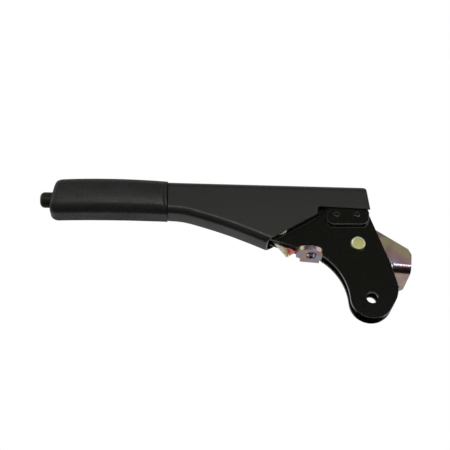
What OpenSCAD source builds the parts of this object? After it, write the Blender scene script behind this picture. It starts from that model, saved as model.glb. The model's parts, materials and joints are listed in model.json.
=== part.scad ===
// Pull-up parking brake lever: a pressed handle with a push-button release, two side plates
// with lobes for the cable pin, and a toothed bracket whose two feet bolt to the floor.
// X runs to the rear, Y across and Z up. The feet stand on Z = 0, the pivot is above the origin
// and the lever's mid-plane is Y = 0. The lever is drawn fully down, with its button out.

/* [Bracket] */
// Thickness of the bracket's sheet
sheet_t = 4; // [3:0.5:4.5]
// Inside radius of the bracket's bends
bend_r = 3; // [2:0.5:3.5]
// Height of the lever's pivot above the feet
pivot_h = 19.1; // [18.45:0.05:22.45]
// Height of the bracket's top edge above the pivot
web_rise = 24; // [20:0.5:27]
// Distance from the pivot to the bracket's rear edge
bracket_rear = 46.8; // [46:0.1:56]
// Radius of the ratchet's tooth tips about the pivot
ratchet_r = 49; // [47:0.5:49.5]
// Angle from one ratchet tooth to the next
tooth_pitch = 3; // [2.5:0.5:5]
// Depth of the ratchet's teeth
tooth_depth = 1.8; // [1:0.1:2.5]
// How far the lever swings up from rest
lever_swing = 30; // [20:1:32]

/* [Feet] */
// Width of the near foot
near_foot_w = 21.6; // [19:0.1:23]
// Width of the near foot's neck at the bend
neck_w = 16; // [12:0.5:16]
// Reach of the near foot from the mid-plane
near_foot_reach = 31; // [30:0.5:42]
// Width of the near foot's slot
slot_w = 8; // [6.5:0.5:9]
// Length of the near foot's slot
slot_len = 13; // [10:0.5:15]
// Width of the far foot
far_foot_w = 15.5; // [14.5:0.1:15.7]
// Reach of the far foot from the mid-plane
far_foot_reach = 46; // [40:0.5:60]
// Diameter of the far foot's bolt hole
bolt_d = 9; // [6.6:0.1:10]

/* [Side plates] */
// Thickness of each side plate
plate_t = 3; // [2:0.25:3]
// Gap between the two side plates
plate_gap = 8.3; // [7.5:0.1:9]
// Radius of the lobes that carry the cable pin
lobe_r = 18.3; // [16:0.1:19]
// Distance of the lobes' centre behind the pivot
lobe_back = 13.7; // [12:0.1:15]
// Depth of the lobes' centre below the pivot
lobe_drop = 46.8; // [44:0.1:52]
// Diameter of the cable pin's hole
clevis_d = 9.6; // [8:0.1:12.2]
// Radius of the hollow front edge above the lobes
hollow_r = 50; // [46:0.5:54]

/* [Pivot and pawl] */
// Diameter of the pivot rivet's shank
pivot_d = 10; // [8:0.5:11]
// Diameter of the pivot rivet's heads
rivet_head_d = 12.6; // [12.4:0.1:15]
// Distance of the pawl's pin ahead of the pivot
pawl_ahead = 67.3; // [66.5:0.1:68.5]
// Height of the pawl's pin above the pivot
pawl_rise = 8.4; // [8:0.1:9]
// Diameter of the pawl's pin
pawl_pin_d = 8; // [6:0.5:9]
// Diameter of the pawl pin's heads
pawl_head_d = 13.6; // [12:0.1:15]
// Thickness of the pawl
pawl_t = 3.6; // [2.5:0.1:3.6]

/* [Handle] */
// Width of the handle
handle_w = 26; // [25:0.5:30]
// Height of the handle where it leaves the grip
handle_h = 28.8; // [27:0.1:30]
// Wall of the handle's pressed sheet
handle_wall = 2; // [1.5:0.1:2]
// Radius along the handle's long edges
handle_edge_r = 6; // [4:0.5:8]
// Angle at which the handle's top edge climbs to the rear
handle_climb = 3.85; // [3.5:0.05:4.5]
// Width of the tube inside the grip
tube_w = 23; // [21:0.5:24]
// Height of the tube inside the grip
tube_h = 24; // [22:0.5:25]

/* [Grip] */
// Length of the grip
grip_len = 97; // [90:0.5:120]
// Width of the grip
grip_w = 30.8; // [29:0.1:34]
// Height of the grip
grip_h = 33.5; // [32:0.5:38]
// Thickness of the grip's front end
grip_nose = 8; // [7:0.5:12]
// Angle at which the grip climbs to the rear
grip_tilt = 4.6; // [4:0.1:5]
// Distance of the grip's rear end ahead of the pivot
grip_ahead = 165.3; // [163:0.1:179]
// Height of the grip's axis at its rear end
grip_rise = 46.33; // [45.5:0.01:47]

/* [Button] */
// Diameter of the release button
button_d = 13.5; // [11:0.5:14]
// How far the button stands out of the grip
button_out = 11.5; // [8:0.5:18]
// Travel of the button
button_travel = 6; // [4:0.5:6.5]
// Diameter of the release rod
rod_d = 5; // [4:0.5:6]
// Diameter of the pin that links the rod to the pawl
link_pin_d = 4; // [3:0.5:4.5]
// Diameter of the spring's wire
wire_d = 1.2; // [0.8:0.1:1.4]
// Turns of the button's spring
spring_turns = 7; // [5:1:8]

/* [Fits] */
// Radial clearance of a pin that turns in its hole
run_fit = 0.05; // [0.02:0.01:0.09]
// Radial clearance of a piece that is pressed or welded in place
seat_fit = 0.03; // [0.02:0.01:0.05]
// Clearance between faces that pass each other
slide_gap = 0.3; // [0.25:0.05:0.5]

/* [Hidden] */
$fn = 64;
arc_step = 15;
through = 1;

pivot = [0, pivot_h];
bend_top = sheet_t + bend_r;
bush_wall = 2;
plate_in = plate_gap / 2;
plate_out = plate_in + plate_t;
pad_out = handle_w / 2 - handle_wall - seat_fit;
washer_t = plate_in - sheet_t / 2 - slide_gap;
spacer_t = plate_in - pawl_t / 2 - slide_gap;
rivet_head_h = 2.6;
rivet_washer_t = 1.5;
washer_d = rivet_head_d + 4;

// Feet
near_foot_x = -39.9;
near_foot_shift = -1.6;
near_neck_end = 10.5;
slot_y = -19.2;
far_foot_x = bracket_rear - far_foot_w / 2;
bolt_x = bracket_rear - 8.2;
bolt_y = far_foot_reach - 11;

// Lobe and the edges that run into it
lobe = pivot + [lobe_back, -lobe_drop];
notch = [near_foot_x + neck_w / 2 + 1.2, pivot_h - 11.65];
hollow_start = notch + [1.7, -1.8];
hollow = circle_meet(hollow_start, hollow_r, lobe, hollow_r + lobe_r);
lobe_leave = -25;

// Pawl: its pin, and the ratchet's land that it faces at rest
pawl_at = pivot + [-pawl_ahead, pawl_rise];
beak_r = ratchet_r + 2 * slide_gap;
land_end = 182;
tooth_count = floor(lever_swing / tooth_pitch);

// Grip axis: s runs along it to the rear, from the grip's rear end
axis_from = [-grip_ahead, grip_rise];
axis_dir = [cos(grip_tilt), sin(grip_tilt)];
grip_front = -grip_len;
tube_front = grip_front + grip_nose;
button_rear = grip_front + 24;
spring_len = 24;
seat_at = button_rear + spring_len;
seat_t = 4;
clip_t = 1.5;
guide_at = -14;
guide_len = 14;
rod_seat = 12;
pawl_s = (pawl_at - axis_from) * axis_dir;
link_s = pawl_s - button_travel / 2;
link_at = axis_from + link_s * axis_dir;
link_gap = 0.4;
yoke_h = link_pin_d + 5.5;
yoke_half = pawl_t / 2 + slide_gap + 2.6;
yoke_back = 15;
yoke_seat = 6;

// Handle: where its belly drops, how far, and where its open mouth starts
shoulder_gap = 0.5;
shoulder_len = 0.7;
handle_front = -grip_ahead + shoulder_gap + shoulder_len;
handle_rear = 9.3;
rear_lean = 12;
rear_lip = 8;
mouth_start = pawl_at.x - 10;
belly_len = mouth_start - handle_front;
belly = [for (p = [[0, 0], [0.16, 0], [0.33, 2.6], [0.65, 9.4], [1, 19.2], [2.05, 49.5]])
    [p.x * belly_len, p.y]];
wall_step = [-35.9, pivot_h + 29.7];
step_h = 6.8;
step_climb = 1.8;

// Two-dimensional helpers
function unit(v) = v / norm(v);
function turned(a) = a > 180 ? a - 360 : a < -180 ? a + 360 : a;
function arc(c, r, from, to, n) = [for (i = [0 : n]) c + r * [cos(from + (to - from) * i / n),
    sin(from + (to - from) * i / n)]];
function angle_of(v) = atan2(v.y, v.x);

// The centre at distance a from p and b from q, on the right of the line from p to q
function circle_meet(p, a, q, b) = let (
    d = norm(q - p),
    along = (a * a - b * b + d * d) / (2 * d),
    off = sqrt(a * a - along * along),
    u = unit(q - p)
) p + along * u + off * [u.y, -u.x];

// One corner b of an outline, between a and c, rounded to radius r
function corner(a, b, c, r) = r <= 0 ? [b] : let (
    u = unit(a - b),
    v = unit(c - b),
    half = acos(u * v) / 2,
    centre = b + unit(u + v) * r / sin(half),
    from = angle_of(b + u * r / tan(half) - centre),
    turn = turned(angle_of(b + v * r / tan(half) - centre) - from)
) arc(centre, r, from, from + turn, max(2, round(abs(turn) / arc_step)));

// An outline from corners [x, y, radius]; a corner with no radius stays sharp
function flat(p) = [p.x, p.y];
function rounded(c) = let (n = len(c)) [for (i = [0 : n - 1])
    each corner(flat(c[(i + n - 1) % n]), flat(c[i]), flat(c[(i + 1) % n]),
        is_undef(c[i][2]) ? 0 : c[i][2])];
function box_outline(w, h, r) = rounded([[-w / 2, -h / 2, r], [w / 2, -h / 2, r], [w / 2, h / 2, r],
    [-w / 2, h / 2, r]]);
function less_last(points) = [for (i = [0 : len(points) - 2]) points[i]];

// A smooth curve through points [x, y], read at x
function slope_at(p, i) = let (
    a = p[max(i - 1, 0)],
    b = p[min(i + 1, len(p) - 1)]
) (b.y - a.y) / (b.x - a.x);
function curve(p, x, i = 0) = i < len(p) - 2 && x > p[i + 1].x ? curve(p, x, i + 1) : let (
    w = p[i + 1].x - p[i].x,
    t = (x - p[i].x) / w
) (1 + 2 * t) * pow(1 - t, 2) * p[i].y + t * pow(1 - t, 2) * w * slope_at(p, i)
    + t * t * (3 - 2 * t) * p[i + 1].y + t * t * (t - 1) * w * slope_at(p, i + 1);

// A closed solid through rings of points that all have the same count
module loft(rings) {
    n = len(rings[0]);
    last = len(rings) - 1;
    sides = [for (i = [0 : last - 1], j = [0 : n - 1]) let (k = (j + 1) % n)
        each [[i * n + j, (i + 1) * n + k, i * n + k], [i * n + j, (i + 1) * n + j, (i + 1) * n + k]]];
    ends = [[for (j = [0 : n - 1]) j], [for (j = [n - 1 : -1 : 0]) last * n + j]];
    polyhedron([for (r = rings) each r], concat(sides, ends));
}

// An XZ outline as a plate from Y = y0 to y1
module upright(y0, y1) {
    translate([0, y1, 0]) rotate([90, 0, 0]) linear_extrude(y1 - y0) children();
}

// A round bar along Y
module cross_bar(at, d, y0, y1) {
    translate([at.x, y0, at.y]) rotate([-90, 0, 0]) cylinder(d = d, h = y1 - y0);
}

// A ring along Y
module cross_ring(at, d, bore, y0, y1) {
    difference() {
        cross_bar(at, d, y0, y1);
        cross_bar(at, bore, y0 - through, y1 + through);
    }
}

// The grip's own frame: X along its axis, from the grip's rear end
module on_axis() {
    translate([-grip_ahead, 0, grip_rise]) rotate([0, -grip_tilt, 0]) children();
}

// A round bar, or a block of YZ outline, along the grip's axis
module axis_bar(d, from, to) {
    translate([from, 0, 0]) rotate([0, 90, 0]) cylinder(d = d, h = to - from);
}
module axis_block(outline, from, to) {
    translate([from, 0, 0]) rotate([90, 0, 90]) linear_extrude(to - from) polygon(outline);
}

// The bracket's flat web, with the ratchet along its front edge
function tooth(a) = [for (t = [[0, tooth_depth], [0.8, 0], [0.92, 0]])
    pivot + (ratchet_r - t[1]) * [cos(a - t[0] * tooth_pitch), sin(a - t[0] * tooth_pitch)]];
module web_outline() {
    top = pivot_h + web_rise;
    shoulder = [bracket_rear - 3, bend_top + 13.9];
    slant = 28.3;
    relief = 4;
    land_w = 5;
    neck_right = near_foot_x + neck_w / 2;
    foot_left = bracket_rear - far_foot_w;
    land_start = 180 + asin((pivot_h - bend_top) / ratchet_r);
    land = arc(pivot, ratchet_r, land_start, land_end, 6);
    teeth = [for (i = [0 : tooth_count - 1]) each tooth(land_end - i * tooth_pitch)];
    rest = [
        [-ratchet_r + 11, top, 5],
        [shoulder.x - (top - shoulder.y) / tan(slant), top, 14],
        [shoulder.x, shoulder.y, 3],
        [bracket_rear, bend_top + 9, 2],
        [bracket_rear, bend_top],
        [foot_left, bend_top],
        [foot_left - land_w, bend_top, 1],
        [foot_left - land_w - relief, bend_top + relief, 3],
        [neck_right + relief, bend_top + relief, 3],
        [neck_right, bend_top]
    ];
    polygon(rounded(concat(land, teeth, rest)));
}

// The section of a foot: X is its reach from the mid-plane, Y its height
module foot_section(reach) {
    outer = bend_r + sheet_t;
    translate([sheet_t / 2 + bend_r, 0]) square([reach - sheet_t / 2 - bend_r, sheet_t]);
    translate([sheet_t / 2 + bend_r, bend_top]) intersection() {
        difference() {
            circle(outer);
            circle(bend_r);
        }
        translate([-outer, -outer]) square(outer);
    }
}
module foot(x, width, reach, plan) {
    translate([x, 0, 0]) intersection() {
        rotate([90, 0, 90]) translate([0, 0, -width / 2]) linear_extrude(width) foot_section(reach);
        translate([0, 0, -through]) linear_extrude(bend_top + 2 * through) polygon(plan);
    }
}

module mounting_bracket() {
    left = near_foot_shift - near_foot_w / 2;
    right = near_foot_shift + near_foot_w / 2;
    near_plan = rounded([
        [-neck_w / 2, -sheet_t], [neck_w / 2, -sheet_t],
        [neck_w / 2, near_neck_end, 1], [right, near_neck_end + 2, 2],
        [right, near_foot_reach, 10], [left, near_foot_reach, 10],
        [left, near_neck_end + 2, 2], [-neck_w / 2, near_neck_end, 1]
    ]);
    flare = 0.5;
    far_plan = rounded([
        [-far_foot_w / 2, -sheet_t], [far_foot_w / 2, -sheet_t], [far_foot_w / 2, bend_top, 8],
        [far_foot_w / 2 + flare, far_foot_reach, 8], [-far_foot_w / 2, far_foot_reach, 6]
    ]);
    color("darkkhaki") difference() {
        union() {
            upright(-sheet_t / 2, sheet_t / 2) web_outline();
            mirror([0, 1, 0]) foot(near_foot_x, 2 * near_foot_w, near_foot_reach, near_plan);
            foot(far_foot_x, 2 * far_foot_w, far_foot_reach, far_plan);
        }
        cross_bar(pivot, pivot_d + 2 * (run_fit + bush_wall + seat_fit), -sheet_t, sheet_t);
        translate([bolt_x, bolt_y, -through]) cylinder(d = bolt_d, h = sheet_t + 2 * through);
        translate([near_foot_x, slot_y, -through]) {
            for (side = [-1, 1]) {
                translate([0, side * (slot_len - slot_w) / 2, 0])
                    cylinder(d = slot_w, h = sheet_t + 2 * through);
            }
            translate([-slot_w / 2, -(slot_len - slot_w) / 2, 0])
                cube([slot_w, slot_len - slot_w, sheet_t + 2 * through]);
        }
    }
}

module pivot_bush() {
    bore = pivot_d + 2 * run_fit;
    color("peru") cross_ring(pivot, bore + 2 * bush_wall, bore, -sheet_t / 2, sheet_t / 2);
}

// Side plate outline: round the pawl's pin, along the belly, down the hollow edge and round the lobe
module plate_outline() {
    touch = angle_of(hollow - lobe);
    front = [
        concat(pawl_at + [-12.5, 11], 10),
        concat(pawl_at + [-14.5, -8.6], 9),
        [pawl_at.x + 16, pivot_h - 8.2, 20],
        [pawl_at.x + 28, notch.y + 0.4, 10],
        [notch.x, notch.y, 0.8]
    ];
    hollow_edge = arc(hollow, hollow_r, angle_of(hollow_start - hollow), angle_of(lobe - hollow), 14);
    lobe_edge = arc(lobe, lobe_r, touch < 0 ? touch + 360 : touch, 360 + lobe_leave, 20);
    rear = [
        concat(pivot + [34.7, -45], 20),
        concat(pivot + [35.9, -35.8], 16),
        concat(pivot + [29.1, -16.4], 30),
        concat(pivot + [3.2, 40.8], 4),
        concat(pivot + [-27, 39], 6),
        concat(pivot + [-40, 31], 8)
    ];
    polygon(rounded(concat(front, less_last(hollow_edge), lobe_edge, rear)));
}

// The raised pad that is welded to the handle's wall, drawn in by a wall of the sheet's thickness
module pad_outline(inset) {
    pad_lean = 5.5;
    corner_r = 6;
    left = -27.6 + inset;
    low = pivot_h + 13.5 + inset;
    right = 8.6 - inset;
    high = pivot_h + 2 * lobe_drop;
    polygon(rounded([[left, low, corner_r - inset], [right, low + tan(pad_lean) * (right - left),
        corner_r - inset], [right, high], [left, high]]));
}

module side_plate() {
    difference() {
        union() {
            upright(-plate_out, -plate_in) difference() {
                plate_outline();
                pad_outline(0);
            }
            upright(-pad_out, -plate_in) intersection() {
                plate_outline();
                difference() {
                    pad_outline(0);
                    pad_outline(plate_t);
                }
            }
            upright(-pad_out, -pad_out + plate_t) intersection() {
                plate_outline();
                pad_outline(plate_t);
            }
        }
        cross_bar(pivot, pivot_d + 2 * seat_fit, -pad_out - through, 0);
        cross_bar(pawl_at, pawl_pin_d + 2 * seat_fit, -pad_out - through, 0);
        cross_bar(lobe, clevis_d, -pad_out - through, 0);
    }
}

module near_side_plate() { color("dimgray") side_plate(); }
module far_side_plate() { color("dimgray") mirror([0, 1, 0]) side_plate(); }

module thrust_washer() {
    cross_ring(pivot, washer_d, pivot_d + 2 * slide_gap, -plate_in, -plate_in + washer_t);
}
module near_thrust_washer() { color("gainsboro") thrust_washer(); }
module far_thrust_washer() { color("gainsboro") mirror([0, 1, 0]) thrust_washer(); }

// A round head on the near side of a pin at Y = y, domed by its edge radius
module near_head(at, d, h, y) {
    edge = 1.1;
    rim = arc([d / 2 - edge, h - edge], edge, 0, 75, 5);
    profile = concat([[0, 0], [d / 2, 0]], rim, [[d / 4, h], [0, h]]);
    translate([at.x, y, at.y]) rotate([90, 0, 0]) rotate_extrude() polygon(profile);
}

module pivot_rivet() {
    far_face = plate_out + rivet_washer_t;
    color("khaki") {
        cross_bar(pivot, pivot_d, -plate_out, far_face);
        near_head(pivot, rivet_head_d, rivet_head_h, -plate_out);
        mirror([0, 1, 0]) near_head(pivot, rivet_head_d, rivet_head_h, -far_face);
    }
}
module rivet_washer() {
    far_face = plate_out + rivet_washer_t;
    color("gainsboro") cross_ring(pivot, washer_d, pivot_d + 2 * seat_fit, plate_out, far_face);
}

module pawl_pin() {
    color("khaki") {
        cross_bar(pawl_at, pawl_pin_d, -plate_out, plate_out);
        near_head(pawl_at, pawl_head_d, rivet_head_h, -plate_out);
        mirror([0, 1, 0]) near_head(pawl_at, pawl_head_d, rivet_head_h, -plate_out);
    }
}
module pawl_spacer() {
    cross_ring(pawl_at, pawl_head_d, pawl_pin_d + 2 * slide_gap, -plate_in, -plate_in + spacer_t);
}
module near_pawl_spacer() { color("gainsboro") pawl_spacer(); }
module far_pawl_spacer() { color("gainsboro") mirror([0, 1, 0]) pawl_spacer(); }

// Pawl: an eye on its pin, an arm up to the link pin and a beak that faces the ratchet
module pawl() {
    beak_high = pivot + beak_r * [cos(183.2), sin(183.2)];
    beak_low = pivot + beak_r * [cos(187.6), sin(187.6)];
    arm = unit(link_at - pawl_at);
    arm_half = 5.5;
    side = [arm.y, -arm.x];
    tip = link_at + 6 * arm;
    outline = rounded([
        concat(tip - arm_half * side, 4),
        concat(pawl_at + 4 * arm - 8 * side, 8),
        concat(pawl_at + [-8.4, -5.4], 5),
        concat(pawl_at + [8.2, -23], 1.2),
        concat(beak_low + [-1.7, -1.6], 1),
        concat(beak_low, 0.4),
        concat(beak_high, 0.4),
        concat(pawl_at + [9.5, 1.5], 6),
        concat(tip + arm_half * side, 4)
    ]);
    color("darkkhaki") difference() {
        upright(-pawl_t / 2, pawl_t / 2) polygon(outline);
        cross_bar(pawl_at, pawl_pin_d + 2 * run_fit, -pawl_t, pawl_t);
        cross_bar(link_at, link_pin_d + 2 * link_gap, -pawl_t, pawl_t);
    }
}

// Handle heights at x: the top climbs evenly, and the belly drops along its curve
function handle_top(x) = grip_rise + handle_h / 2 + tan(handle_climb) * max(0, x - handle_front);
function handle_low(x) = grip_rise - handle_h / 2 - curve(belly, max(0, x - handle_front));
function ring_at(x, w, low, top, r) = [for (p = rounded([[-w / 2, low, r], [w / 2, low, r],
    [w / 2, top, r], [-w / 2, top, r]])) [x, p.x, p.y]];
function tube_mid(x) = grip_rise + tan(grip_tilt) * (x + grip_ahead);
function tube_ring(x, inset) = let (half = tube_h / cos(grip_tilt) / 2 - inset)
    ring_at(x, tube_w - 2 * inset, tube_mid(x) - half, tube_mid(x) + half, handle_edge_r - inset);
function handle_ring(x, inset) = ring_at(x, handle_w - 2 * inset, handle_low(x) + inset,
    handle_top(x) - inset, handle_edge_r - inset);
function square_to_grip(ring) = [for (p = ring)
    [p.x - tan(grip_tilt) * (p.z - tube_mid(p.x)), p.y, p.z]];

// The handle's form, drawn in by inset: a tube inside the grip, then the deepening channel
module handle_form(inset, front) {
    tube_end = handle_front - shoulder_len + inset / 2;
    stations = [0.06, 0.11, 0.17, 0.23, 0.3, 0.39, 0.5, 0.66, 0.84, 1.01, 1.36];
    loft(concat(
        [for (x = [front, tube_end]) square_to_grip(tube_ring(x, inset))],
        [square_to_grip(handle_ring(handle_front + inset / 2, inset))],
        [for (t = stations) handle_ring(handle_front + t * belly_len + inset / 2, inset)],
        [handle_ring(handle_rear + handle_wall, inset)]
    ));
}
module rear_profile(inset) {
    top = handle_top(handle_rear) + slide_gap - inset;
    low = wall_step.y - 2 * lobe_drop;
    ahead = 2 * grip_ahead;
    function back(z) = handle_rear - inset - (z - wall_step.y) * tan(rear_lean);
    polygon(rounded([
        [-ahead, low],
        [back(low), low],
        [back(top), top, handle_edge_r + slide_gap - inset / 2],
        [-ahead, top - tan(handle_climb) * ahead]
    ]));
}
module handle_solid(inset, front) {
    intersection() {
        handle_form(inset, front);
        upright(-handle_w, handle_w) rear_profile(inset);
    }
}

module handle_channel() {
    reach = grip_len + grip_ahead;
    low = -2 * lobe_drop;
    mouth = rounded([
        [mouth_start - 3, low],
        [mouth_start, handle_low(mouth_start) + slide_gap, 3],
        [wall_step.x, wall_step.y - step_h, 2.5],
        [wall_step.x, wall_step.y, 2],
        [reach, wall_step.y + tan(step_climb) * (reach - wall_step.x)],
        [reach, low]
    ]);
    tube_x = -grip_ahead + tube_front * cos(grip_tilt);
    color("darkslategray") difference() {
        handle_solid(0, tube_x);
        handle_solid(handle_wall, tube_x - through);
        upright(-handle_w, handle_w) polygon(mouth);
        translate([0, handle_wall - handle_w / 2, 0])
            cube([2 * handle_rear, handle_w - 2 * handle_wall, handle_top(0) - rear_lip]);
    }
}

// Grip: a crowned sleeve that arches up a little, with a slanting rounded nose and a chamfered rear
module hand_grip() {
    arch = 1.3;
    crown = 0.028;
    crown_s = 0.62 * grip_len;
    nose_r = 6.5;
    nose_size = 0.78;
    nose_slant = 0.2;
    chamfer = 1.4;
    edge_r = 13;
    function rise(s) = arch * (1 - pow(2 * s / grip_len + 1, 2));
    function swell(s) = let (t = min(1, (s + grip_len) / nose_r))
        (nose_size + (1 - nose_size) * sqrt(max(0, 1 - pow(1 - t, 2))))
        * (1 + crown * (1 - pow(s / crown_s + 1, 2)));
    function slant(s) = nose_slant * pow(max(0, 1 - 2 * (s + grip_len) / grip_len), 2);
    function grip_ring(s, size) = [for (p = box_outline(grip_w * size, grip_h * size, edge_r * size))
        [s + slant(s) * p.y, p.x, p.y + rise(s)]];
    bays = 9;
    socket = [tube_w + 2 * slide_gap, tube_h + 2 * slide_gap];
    nose = [for (t = [0, 0.04, 0.12, 0.25, 0.42, 0.66, 1]) grip_front + nose_r * t];
    body = [for (i = [1 : bays]) grip_front + nose_r + (grip_len - nose_r - chamfer) * i / bays];
    color("darkslategray") on_axis() difference() {
        loft(concat(
            [for (s = concat(nose, body)) grip_ring(s, swell(s))],
            [grip_ring(0, 1 - 2 * chamfer / grip_w)]
        ));
        axis_block(box_outline(socket.x, socket.y, handle_edge_r), tube_front - seat_fit, through);
        axis_bar(button_d + 4 * slide_gap, 2 * grip_front, 0);
    }
}

// A plug that fits inside the tube, with a hole along the axis
module tube_plug(from, to, bore) {
    drawn_in = 2 * handle_wall + 4 * seat_fit;
    outline = box_outline(tube_w - drawn_in, tube_h - drawn_in, handle_edge_r - handle_wall);
    on_axis() difference() {
        axis_block(outline, from, to);
        axis_bar(bore + 2 * slide_gap, from - through, to + through);
    }
}
module button_guide() { color("lightgray") tube_plug(tube_front, tube_front + guide_len, button_d); }
module spring_seat() { color("silver") tube_plug(seat_at, seat_at + seat_t, rod_d); }
module rod_guide() { color("silver") tube_plug(guide_at, guide_at + seat_t, rod_d); }

module release_button() {
    r = button_d / 2;
    tip = grip_front - button_out;
    edge = 4;
    skirt = button_rear - tip;
    profile = concat([[0, 0], [r, 0]], arc([r - edge, skirt - edge], edge, 0, 90, 8), [[0, skirt]]);
    color("black") on_axis() difference() {
        translate([button_rear, 0, 0]) rotate([0, -90, 0]) rotate_extrude() polygon(profile);
        axis_bar(rod_d + 2 * seat_fit, button_rear - rod_seat, button_rear + through);
    }
}

// Spring between the button and its seat, swept along a helix
module button_spring() {
    coil_r = button_d / 2 - wire_d;
    sides = 8;
    per_turn = 14;
    steps = spring_turns * per_turn;
    run = spring_len - wire_d - 2 * slide_gap;
    first = button_rear + slide_gap + wire_d / 2;
    rings = [for (i = [0 : steps]) let (a = 360 * i / per_turn, s = first + run * i / steps)
        [for (j = [0 : sides - 1]) let (b = -360 * j / sides, q = coil_r + wire_d / 2 * cos(b))
            [s + wire_d / 2 * sin(b), q * cos(a), q * sin(a)]]];
    color("lightsteelblue") on_axis() loft(rings);
}

module rod_clip() {
    from = seat_at + seat_t + slide_gap;
    clip_d = rod_d + 7;
    color("silver") on_axis() difference() {
        axis_bar(clip_d, from, from + clip_t);
        axis_bar(rod_d + 2 * seat_fit, from - through, from + clip_t + through);
    }
}

module release_rod() {
    color("silver") on_axis() axis_bar(rod_d, button_rear - rod_seat, link_s - yoke_back + yoke_seat);
}

// Forked end of the rod, which straddles the pawl's arm
module rod_yoke() {
    rear = link_s - yoke_back;
    slot = pawl_t + 2 * slide_gap;
    slot_back = 8.5;
    outline = rounded([
        [-yoke_back, -yoke_h / 2, 1.5],
        [yoke_h / 2, -yoke_h / 2, 4],
        [yoke_h / 2, yoke_h / 2, 4],
        [-yoke_back, yoke_h / 2, 1.5]
    ]);
    color("silver") difference() {
        on_axis() difference() {
            translate([link_s, 0, 0]) upright(-yoke_half, yoke_half) polygon(outline);
            axis_bar(rod_d + 2 * seat_fit, rear - through, rear + yoke_seat + seat_fit);
            translate([link_s - slot_back, -slot / 2, -yoke_h])
                cube([yoke_h + slot_back, slot, 2 * yoke_h]);
        }
        cross_bar(link_at, link_pin_d + 2 * seat_fit, -2 * yoke_half, 2 * yoke_half);
    }
}
module link_pin() {
    color("khaki") cross_bar(link_at, link_pin_d, -yoke_half, yoke_half);
}

mounting_bracket();
pivot_bush();
near_side_plate();
far_side_plate();
near_thrust_washer();
far_thrust_washer();
pivot_rivet();
rivet_washer();
pawl();
pawl_pin();
near_pawl_spacer();
far_pawl_spacer();
handle_channel();
hand_grip();
button_guide();
release_button();
button_spring();
spring_seat();
rod_clip();
release_rod();
rod_guide();
rod_yoke();
link_pin();
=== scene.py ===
import json
import logging
import math
from dataclasses import dataclass
from enum import Enum

import bmesh
import bpy
import numpy as np
from mathutils import Matrix, Vector


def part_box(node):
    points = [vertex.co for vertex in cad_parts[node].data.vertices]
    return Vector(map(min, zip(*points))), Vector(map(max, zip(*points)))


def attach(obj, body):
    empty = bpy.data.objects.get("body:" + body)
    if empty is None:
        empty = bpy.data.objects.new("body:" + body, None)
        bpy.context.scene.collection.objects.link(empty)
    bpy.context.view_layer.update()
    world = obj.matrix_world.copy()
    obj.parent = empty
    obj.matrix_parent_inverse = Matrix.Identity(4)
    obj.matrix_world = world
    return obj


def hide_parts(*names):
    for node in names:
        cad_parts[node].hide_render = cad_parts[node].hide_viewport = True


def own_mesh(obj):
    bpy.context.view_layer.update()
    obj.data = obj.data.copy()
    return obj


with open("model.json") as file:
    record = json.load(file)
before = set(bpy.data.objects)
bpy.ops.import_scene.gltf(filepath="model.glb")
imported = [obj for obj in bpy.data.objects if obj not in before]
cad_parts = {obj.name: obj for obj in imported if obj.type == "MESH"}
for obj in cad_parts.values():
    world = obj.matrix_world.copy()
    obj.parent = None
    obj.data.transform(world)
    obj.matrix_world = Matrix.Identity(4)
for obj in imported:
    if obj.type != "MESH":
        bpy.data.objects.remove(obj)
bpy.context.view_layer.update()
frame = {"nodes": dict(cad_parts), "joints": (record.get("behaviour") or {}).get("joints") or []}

log = logging.getLogger("brake_lever")
MM = 0.001
# Drawn and rolled lines are this many times longer than wide
LINE_STRETCH = 12.0
Tree = bpy.types.NodeTree
Socket = bpy.types.NodeSocket
Edge = bmesh.types.BMEdge
Point = tuple[float, float, float]
Pairs = tuple[tuple[float, float], ...]


def linear(code: str) -> tuple[float, float, float, float]:
    """Turn an sRGB hex colour into linear RGBA.

    Args:
        code: six hex digits with a leading hash.

    Returns:
        The colour in linear light, with an alpha of 1.
    """
    parts = [int(code[i : i + 2], 16) / 255 for i in (1, 3, 5)]
    light = [p / 12.92 if p <= 0.04045 else ((p + 0.055) / 1.055) ** 2.4 for p in parts]
    return light[0], light[1], light[2], 1.0


def per_metre(size_mm: float) -> float:
    """Return the texture scale that repeats a pattern every size_mm millimetres."""
    return 1.0 / (size_mm * MM)


def joint(name: str) -> dict:
    """Return the frame's joint of that name."""
    return next(row for row in frame["joints"] if row["name"] == name)


def add_node(
    tree: Tree, kind: str, sockets: dict[str | int, object] | None = None, **settings: object
) -> bpy.types.Node:
    """Add a node with its settings, socket values and links.

    Args:
        tree: the node tree that takes the node.
        kind: the node's type name.
        sockets: a value or an output socket for each named or numbered input.
        settings: the node's own properties.

    Returns:
        The new node.
    """
    node = tree.nodes.new(kind)
    for key, value in settings.items():
        setattr(node, key, value)
    for key, value in (sockets or {}).items():
        if isinstance(value, bpy.types.NodeSocket):
            tree.links.new(value, node.inputs[key])
        else:
            node.inputs[key].default_value = value
    return node


class Axis(Enum):
    """The row axis that fine lines run along, as how much finer their pattern is on each axis."""

    X = (1.0, LINE_STRETCH, LINE_STRETCH)
    Y = (LINE_STRETCH, 1.0, LINE_STRETCH)


@dataclass(frozen=True)
class Pattern:
    """What the pattern of a finish gives to its shader.

    Attributes:
        colour: the base colour.
        gloss: the roughness.
        bump: the normal.
    """

    colour: Socket
    gloss: Socket
    bump: Socket


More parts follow.
